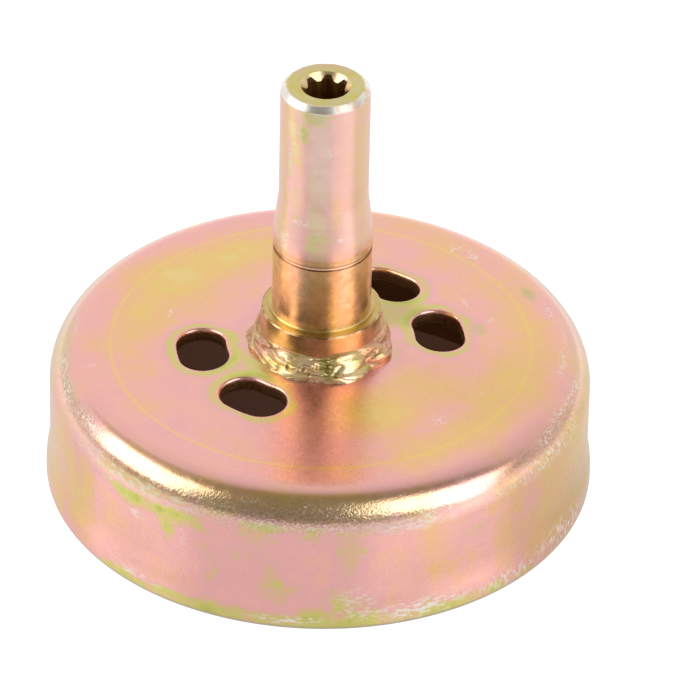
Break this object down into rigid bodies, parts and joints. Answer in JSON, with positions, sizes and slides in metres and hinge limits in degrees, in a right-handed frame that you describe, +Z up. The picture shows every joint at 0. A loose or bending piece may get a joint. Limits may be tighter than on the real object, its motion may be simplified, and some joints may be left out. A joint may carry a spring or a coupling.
{
  "type": "clutch drum",
  "caption": "Pressed steel clutch drum: a shallow cup with kidney slots in its closed end and a welded hollow shaft with a bearing seat and an internal spline.",
  "frame": {"origin": "middle of the open rim, on the plane that the drum stands on", "axes": "+Z up the shaft, away from the open rim; +X midway between the two slots of a pair"},
  "size_m": [0.0836, 0.0836, 0.0694],
  "materials": {
    "cup_plating": "yellow chromate over zinc on pressed steel: satin, iridescent pink, gold and green",
    "shaft_plating": "yellow chromate over zinc on turned steel, coppery and smoother on the ground seat",
    "weld_plating": "yellow chromate over zinc on a bright lumpy weld"
  },
  "bodies": {
    "root": {"drum_cup": "cup_plating", "splined_shaft": "shaft_plating", "weld_bead": "weld_plating"}
  },
  "joints": []
}
